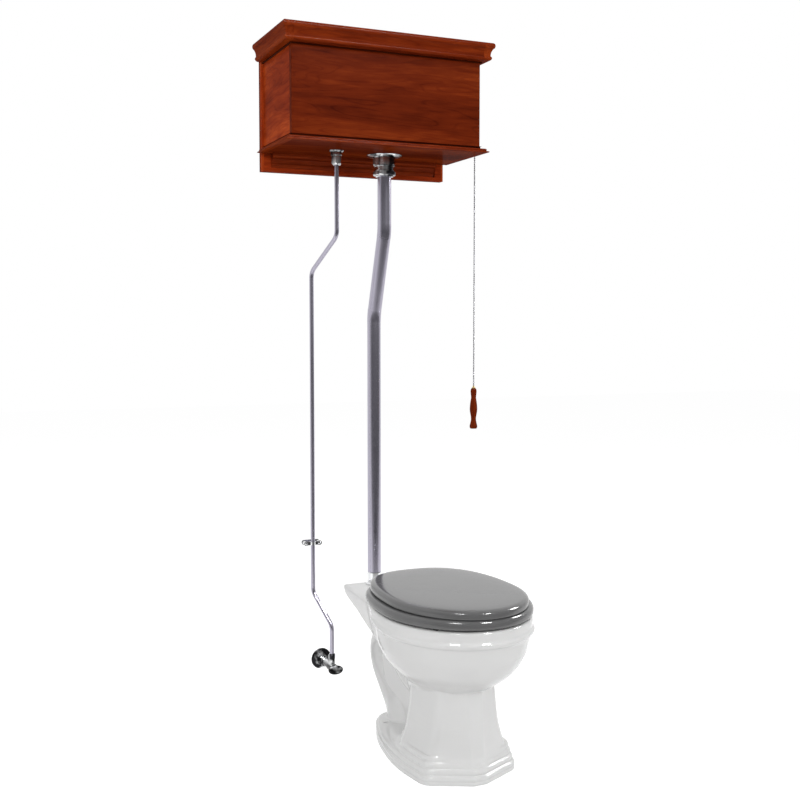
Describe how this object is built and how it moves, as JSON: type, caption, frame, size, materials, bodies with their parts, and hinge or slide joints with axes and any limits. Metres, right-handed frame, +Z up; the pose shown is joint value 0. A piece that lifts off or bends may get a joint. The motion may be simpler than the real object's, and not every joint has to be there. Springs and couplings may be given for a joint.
{
  "type": "high-tank pull-chain toilet",
  "caption": "Wooden high tank on a back board, with flush pipe, supply tube, stop valve and pull chain, over a free-standing china bowl with seat and lid.",
  "frame": {"origin": "on the floor at the centre of the bowl's outlet, midway between the floor bolt holes", "axes": "+Z up; the bowl's front faces -Y and the wall is at +Y; +X is to the right as seen from the front"},
  "size_m": [0.5967, 0.7635, 1.829],
  "materials": {
    "china": "white glossy glaze",
    "seat_grey": "grey, glossy",
    "cherry": "cherry stain under satin lacquer",
    "chrome": "polished",
    "satin_tube": "satin",
    "chain_metal": "bright",
    "brass": "satin",
    "rubber": "matte",
    "black_plastic": "matte",
    "white_plastic": "matte"
  },
  "bodies": {
    "fixture": {"bowl": "china", "hinge_pin": "chrome", "hinge_posts": "chrome", "seat_bolts": "chrome", "spud_washer": "rubber", "spud_collar": "chrome", "flush_pipe": "satin_tube", "slip_nut": "chrome", "slip_washer": "rubber", "flush_locknut": "chrome", "flush_flange": "chrome", "flush_valve": "white_plastic", "flush_gasket": "rubber", "overflow_tube": "white_plastic", "tank_front": "cherry", "tank_side_left": "cherry", "tank_side_right": "cherry", "tank_back": "cherry", "tank_floor": "cherry", "crown_moulding": "cherry", "base_moulding": "cherry", "liner": "white_plastic", "back_panel": "cherry", "back_frame": "cherry", "ledger_moulding": "cherry", "fill_valve": "white_plastic", "fill_gasket": "rubber", "refill_tube": "white_plastic", "supply_escutcheon": "chrome", "supply_locknut": "chrome", "supply_nut": "chrome", "supply_tube": "satin_tube", "clip_base": "chrome", "clip_strap": "chrome", "clip_screws": "chrome", "valve_flange": "chrome", "valve_body": "chrome", "outlet_nut": "chrome", "lever_bushing": "brass", "shaft_bracket": "brass"},
    "seat_ring": {"seat_ring": "seat_grey", "ring_hinges": "chrome", "ring_bumpers": "rubber"},
    "seat_lid": {"seat_lid": "seat_grey", "lid_hinges": "chrome", "lid_bumpers": "rubber"},
    "tank_lid": {"tank_lid": "cherry", "lid_cleats": "cherry"},
    "lever": {"lever_shaft": "brass", "lever_arm_outer": "brass", "lever_arm_inner": "brass"},
    "pull": {"chain_hook": "brass", "pull_chain": "chain_metal", "handle_cap": "brass", "pull_handle": "cherry"},
    "lift_link": {"lift_link": "brass"},
    "flapper": {"flapper": "rubber"},
    "float": {"fill_float": "black_plastic"},
    "stop_handle": {"valve_stem": "chrome", "valve_handle": "chrome"}
  },
  "joints": [
    {"name": "seat_ring_hinge", "type": "hinge", "parent": "fixture", "child": "seat_ring", "pos_m": [0, 0.046, 0.403], "axis": [-1, 0, 0], "range_deg": [0, 95]},
    {"name": "seat_lid_hinge", "type": "hinge", "parent": "seat_ring", "child": "seat_lid", "pos_m": [0, 0.046, 0.403], "axis": [1, 0, 0], "range_deg": [-100, 0]},
    {"name": "tank_lid_lift", "type": "slide", "parent": "fixture", "child": "tank_lid", "axis": [0, 0, 1], "range_m": [0, 0.15]},
    {"name": "lever_hinge", "type": "hinge", "parent": "fixture", "child": "lever", "pos_m": [0.217, 0.165, 1.762], "axis": [1, 0, 0], "range_deg": [0, 20], "stiffness_Nm_per_rad": 0.5, "springref_deg": -34.38},
    {"name": "pull_hinge", "type": "hinge", "parent": "lever", "child": "pull", "pos_m": [0.243, 0.123, 1.762], "axis": [1, 0, 0], "range_deg": [-20, 0]},
    {"name": "link_hinge", "type": "hinge", "parent": "lever", "child": "lift_link", "pos_m": [0, 0.207, 1.762], "axis": [1, 0, 0], "range_deg": [-15.5, 0]},
    {"name": "flapper_hinge", "type": "hinge", "parent": "fixture", "child": "flapper", "pos_m": [0, 0.24, 1.603], "axis": [1, 0, 0], "range_deg": [-29.5, 0]},
    {"name": "float_slide", "type": "slide", "parent": "fixture", "child": "float", "axis": [0, 0, 1], "range_m": [0, 0.052]},
    {"name": "stop_handle_turn", "type": "hinge", "parent": "fixture", "child": "stop_handle", "pos_m": [-0.149, 0.19, 0.13], "axis": [0, 1, 0], "range_deg": [0, 450]}
  ],
  "couplings": [
    {"joint": "pull_hinge", "follows": "lever_hinge", "ratio": -1},
    {"joint": "link_hinge", "follows": "lever_hinge", "ratio": -0.76},
    {"joint": "flapper_hinge", "follows": "lever_hinge", "ratio": -1.45}
  ]
}
